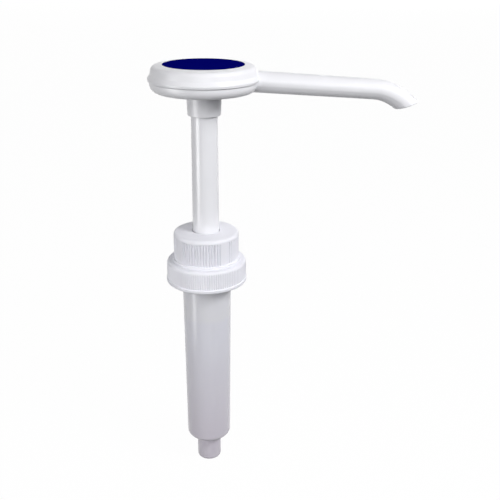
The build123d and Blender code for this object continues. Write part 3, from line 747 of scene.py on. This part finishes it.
thread_work = bmesh.new()
thread_rings = []
for step in range(THREAD_STEPS + 1):
    share = step / THREAD_STEPS
    turn = 2 * math.pi * THREAD_TURNS * share
    taper = fade(share, 0, THREAD_TAPER) * (1 - fade(share, 1 - THREAD_TAPER, 1))
    tall = THREAD_TALL * taper + THREAD_LEAST
    middle = cap_low + THREAD_FOOT + THREAD_PITCH * THREAD_TURNS * share
    upper = [(CAP_BORE_R + THREAD_SUNK, ROOT_HALF), (CAP_BORE_R - FLANK_SHARE * tall, FLANK_HALF),
             (CAP_BORE_R - tall, CREST_HALF)]
    ridge = [(r, -z) for r, z in upper] + upper[::-1]
    thread_rings.append([
        thread_work.verts.new((r * math.cos(turn) * MM, r * math.sin(turn) * MM, (middle + z) * MM))
        for r, z in ridge
    ])
thread_mesh = skin("cap_thread", thread_work, thread_rings, closed=False)
dress(thread_mesh, None, "closure", cap_white)

# %% [markdown]
# ## The spout
# The spout is a tapered tube that droops slightly, bends down near its end, widens a little to its mouth and
# is cut to a slanted lip. The two halves of its mould met a little below the middle of its sides and left a
# fine step there, under which the tube looks darker. A curve with a bevel would give the tube, but not the
# step, the slanted, rounded lip or the bore. Here rings of points follow the axis outward along the outside,
# over the lip, and back along the bore.

# %% Lay out the spout's axis
SPOUT_AXIS_Z = 98.2
DROOP = math.radians(3.2)
BEND = math.radians(38.8)
BEND_R = 26.0
STRAIGHT = 83.1
TIP = 1.22

bend_end = STRAIGHT + BEND * BEND_R


def spout_way(slope):
    """Direction along the spout where it slopes down by an angle."""
    return Vector((math.cos(slope), 0, -math.sin(slope)))


def spout_up(slope):
    """Direction across the spout and upward where it slopes down by an angle."""
    return Vector((math.sin(slope), 0, math.cos(slope)))


def spout_axis(along):
    """Point and slope of the spout's axis, at a distance from the pump's axis."""
    root = Vector((0, 0, SPOUT_AXIS_Z))
    if along <= STRAIGHT:
        return root + spout_way(DROOP) * along, DROOP
    turned = min((along - STRAIGHT) / BEND_R, BEND)
    slope = DROOP + turned
    hub = root + spout_way(DROOP) * STRAIGHT - spout_up(DROOP) * BEND_R
    rest = along - STRAIGHT - turned * BEND_R
    return hub + spout_up(slope) * BEND_R + spout_way(slope) * rest, slope


lip_middle = spout_axis(bend_end + TIP)[0]
print("middle of the spout's lip, in mm:", [round(x, 1) for x in lip_middle])

# %% Shape one ring of the spout
ROOT_AT = 8.8
ROOT_R, END_R, BORE_R = 5.4, 5.0, 3.6
OUTSIDE_R = BORE_R + 1
LIP_SLOPE = math.radians(19.1)
MOUTH_FLARE = 0.35
PARTING_STEP, PARTING_DROP = 0.12, 0.3
SPOUT_SIDES = 72
ACROSS = Vector((0, 1, 0))

lip_normal = Vector((math.sin(LIP_SLOPE), 0, -math.cos(LIP_SLOPE)))


def spout_ring(work, along, radius, before_lip=None):
    """A ring of points round the spout's axis, which slants with the lip if its distance to it is given."""
    middle, slope = spout_axis(along)
    way, up = spout_way(slope), spout_up(slope)
    flare = MOUTH_FLARE * fade(along, STRAIGHT, bend_end)
    middle = middle - up * flare
    ring = []
    for side in range(SPOUT_SIDES):
        angle = 2 * math.pi * side / SPOUT_SIDES
        inset = PARTING_STEP if radius > OUTSIDE_R and math.cos(angle) < -PARTING_DROP else 0
        out_way = up * math.cos(angle) + ACROSS * math.sin(angle)
        point = middle + out_way * (radius + flare - inset)
        if before_lip is not None:
            point += way * ((lip_middle - point).dot(lip_normal) / way.dot(lip_normal) - before_lip)
        ring.append(work.verts.new(point * MM))
    return ring


print("the lip slopes by", round(math.degrees(LIP_SLOPE), 1), "degrees")

# %% Sweep the spout
STRAIGHT_STEPS, BEND_STEPS, BEND_RINGS = 10, 14, 12
# The lip's rounding, outside and inside: how far a ring lies from the wall, and how far before the lip.
LIP_OUTSIDE = ((0, 0.45), (0.06, 0.2), (0.2, 0.05), (0.4, 0))
LIP_INSIDE = ((0.35, 0), (0.15, 0.05), (0.04, 0.2), (0, 0.45))

bends = [STRAIGHT + BEND * BEND_R * step / BEND_STEPS for step in range(BEND_RINGS)]
spout_work = bmesh.new()
tube = []
for step in range(STRAIGHT_STEPS):
    along = ROOT_AT + (STRAIGHT - ROOT_AT) * step / STRAIGHT_STEPS
    tube.append(spout_ring(spout_work, along, ROOT_R + (END_R - ROOT_R) * step / STRAIGHT_STEPS))
tube += [spout_ring(spout_work, along, END_R) for along in bends]
tube += [spout_ring(spout_work, bend_end, END_R - off, before) for off, before in LIP_OUTSIDE]
tube += [spout_ring(spout_work, bend_end, BORE_R + off, before) for off, before in LIP_INSIDE]
tube += [spout_ring(spout_work, along, BORE_R) for along in reversed(bends)]
tube += [spout_ring(spout_work, ROOT_AT, BORE_R)]
spout_mesh = skin("drooping_spout", spout_work, tube, closed=True)
dress(spout_mesh, "spout", "plunger", head_white)

# %% [markdown]
# ## The palm head
# The head is two shells that snap together at a thin dark seam. The cover has a rounded bead above the seam,
# a crease above the bead and a full, softly rounded crown. The pan below is a shallow bowl that runs into the
# socket on the stem. Both are turned, and then the spout's round channel is cut through them with a boolean:
# the rod meets curved walls, and their edges would be hard to place by hand. The same tool joins on the
# nipple that the spout is pushed over, and drills its bore.

# %% Cut a round channel along the spout
ROD_SIDES = 96


def channel(piece_mesh, radius, start, length, keep):
    """Cut a round rod along the spout's axis out of a mesh, or with keep, join it on."""
    rod_work = bmesh.new()
    middle = spout_axis(start + length / 2)[0] * MM
    lie = spout_way(DROOP).to_track_quat("Z", "Y").to_matrix().to_4x4()
    bmesh.ops.create_cone(rod_work, cap_ends=True, segments=ROD_SIDES, radius1=radius * MM,
                          radius2=radius * MM, depth=length * MM, matrix=Matrix.Translation(middle) @ lie)
    rod_mesh = bpy.data.meshes.new("channel_rod")
    rod_work.to_mesh(rod_mesh)
    rod_work.free()
    rod = bpy.data.objects.new("channel_rod", rod_mesh)
    piece = bpy.data.objects.new(piece_mesh.name + "_blank", piece_mesh)
    for item in (rod, piece):
        scene.collection.objects.link(item)
    cut = piece.modifiers.new("channel", "BOOLEAN")
    cut.object = rod
    cut.operation = "UNION" if keep else "DIFFERENCE"
    cut.solver = "EXACT"
    done = bpy.data.meshes.new_from_object(piece.evaluated_get(bpy.context.evaluated_depsgraph_get()))
    name = piece_mesh.name
    for item in (rod, piece):
        old = item.data
        bpy.data.objects.remove(item)
        bpy.data.meshes.remove(old)
    done.name = name
    return done


print("the channel's slope:", round(math.degrees(DROOP), 1), "degrees")

# %% Turn the cover
CROWN_R, CROWN_DROP, CROWN_ROUND = 25.35, 0.78, 2.5
CREASE_R, CREASE_RISE = 26.1, 3.2
BEAD_R, BEAD_RISE = 27.4, 1.3
BEAD_FOOT_R, BEAD_FOOT_RISE = 27.15, 0.05
PAN_R = 26.5
TONGUE_R, TONGUE_INSIDE_R, TONGUE_TALL = 22.9, 21.7, 2.0
COVER_THICK = 1.75
LABEL_RECESS, LABEL_GAP = 0.45, 0.05
CHANNEL_GAP, CHANNEL_LONG = 0.02, 60.0

cover_low, head_top = heights("head_cover")
seam = cover_low + TONGUE_TALL
label_r, label_bed = widest("label_disc"), head_top - LABEL_RECESS
cover_ceiling = head_top - COVER_THICK
cover_section = [
    (0, cover_ceiling, 0), (0, label_bed, 0), (label_r + LABEL_GAP, label_bed, 0.05),
    (label_r + LABEL_GAP, head_top, 0.15), (CROWN_R, head_top - CROWN_DROP, CROWN_ROUND),
    (CREASE_R, seam + CREASE_RISE, 0.8), (BEAD_R, seam + BEAD_RISE, 0.9),
    (BEAD_FOOT_R, seam + BEAD_FOOT_RISE, 0.25), (PAN_R, seam, 0), (TONGUE_R, seam, 0.1),
    (TONGUE_R, cover_low, 0.2), (TONGUE_INSIDE_R, cover_low, 0.2), (TONGUE_INSIDE_R, cover_ceiling, 0.4),
]
cover_mesh = turn_mesh("palm_cover", cover_section, segments=192)
cover_mesh = channel(cover_mesh, ROOT_R + CHANNEL_GAP, ROOT_AT, CHANNEL_LONG, keep=False)
dress(cover_mesh, "head_cover", "plunger", head_white)

# %% Turn the pan, its socket and its elbow
SEAM_GAP = 0.2
PAN_DEEP, PAN_ROUND = 4.93, 4.3
PAN_INSIDE_R, PAN_FLOOR_R, PAN_FLOOR_DEEP = 24.7, 21.6, 3.35
ELBOW_R, ELBOW_FOOT_DEEP, ELBOW_BORE_RISE = 8.3, 5.0, 4.0
SOCKET_R, SOCKET_NECK_R, SOCKET_NECK_TALL = 8.3, 8.7, 10.0
SOCKET_MOUTH_R, SOCKET_END_R, SOCKET_DEEP = 6.68, 6.63, 12.0
NIPPLE_R, NIPPLE_AT, NIPPLE_LONG = BORE_R - 0.05, 5.5, 11.5
NIPPLE_BORE_R, NIPPLE_BORE_LONG = BORE_R - 1.1, 20.0

base_low, base_high = heights("head_base")
pan_top, elbow_end = seam - SEAM_GAP, seam + ELBOW_BORE_RISE
socket_end = base_low + SOCKET_DEEP
pan_section = [
    (0, elbow_end, 0), (0, base_high, 0), (ELBOW_R, base_high, 0.4), (ELBOW_R, seam - ELBOW_FOOT_DEEP, 0.4),
    (PAN_FLOOR_R, seam - PAN_FLOOR_DEEP, 1.0), (PAN_INSIDE_R, pan_top, 0.1), (PAN_R, pan_top, 0.15),
    (PAN_R, seam - PAN_DEEP, PAN_ROUND), (SOCKET_NECK_R, base_low + SOCKET_NECK_TALL, 0.9),
    (SOCKET_R, base_low, 0.35), (SOCKET_MOUTH_R, base_low, 0.15), (SOCKET_END_R, socket_end, 0.1),
    (STEM_BORE_R, socket_end, 0.1), (STEM_BORE_R, elbow_end, 0.3),
]
pan_mesh = turn_mesh("palm_pan_and_socket", pan_section, segments=192)
pan_mesh = channel(pan_mesh, ROOT_R + CHANNEL_GAP, ROOT_AT, CHANNEL_LONG, keep=False)
pan_mesh = channel(pan_mesh, NIPPLE_R, NIPPLE_AT, NIPPLE_LONG, keep=True)
pan_mesh = channel(pan_mesh, NIPPLE_BORE_R, 0.0, NIPPLE_BORE_LONG, keep=False)
dress(pan_mesh, "head_base", "plunger", head_white)

# %% Turn the label
LABEL_BELOW_RIM = 0.05
LABEL_BORDER = 2.0

label_top = head_top - LABEL_BELOW_RIM
label_section = [
    (0, label_bed, 0), (label_r, label_bed, 0.05), (label_r, label_top, 0.15),
    (label_r - LABEL_BORDER, label_top, 0), (0, label_top, 0),
]
label_mesh = turn_mesh("navy_label", label_section, segments=160)
dress(label_mesh, "label_disc", "plunger", label_film)

# %% [markdown]
# ## The return spring
# The imported spring has a six-sided wire, to keep the solid light. Here a round wire is wound with closed
# ends. A curve with a bevel could be the wire, but the rings of points that made the thread serve here too.

# %% Wind the spring
WIRE_R = 0.5
WIRE_SIDES = 12
SPRING_TURNS = 7
SPRING_STEPS = 48
END_PITCH = 1.5

spring_low, spring_high = heights("return_spring")
spring_r = widest("return_spring") - WIRE_R
open_pitch = (spring_high - spring_low - 2 * WIRE_R - 2 * END_PITCH) / (SPRING_TURNS - 2)
wire_angles = [2 * math.pi * i / WIRE_SIDES for i in range(WIRE_SIDES)]
spring_work = bmesh.new()
spring_rings = []
for step in range(SPRING_TURNS * SPRING_STEPS + 1):
    turns = step / SPRING_STEPS
    closed = min(turns, 1) + max(turns - SPRING_TURNS + 1, 0)
    middle = spring_low + WIRE_R + closed * END_PITCH + (turns - closed) * open_pitch
    turn = 2 * math.pi * turns
    out_way = Vector((math.cos(turn), math.sin(turn), 0))
    ring = []
    for side in wire_angles:
        level = Vector((0, 0, middle + WIRE_R * math.sin(side)))
        ring.append(spring_work.verts.new((out_way * (spring_r + WIRE_R * math.cos(side)) + level) * MM))
    spring_rings.append(ring)
spring_mesh = skin("wound_spring", spring_work, spring_rings, closed=False)
spring = dress(spring_mesh, "return_spring", "pump_body", steel)

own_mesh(spring)
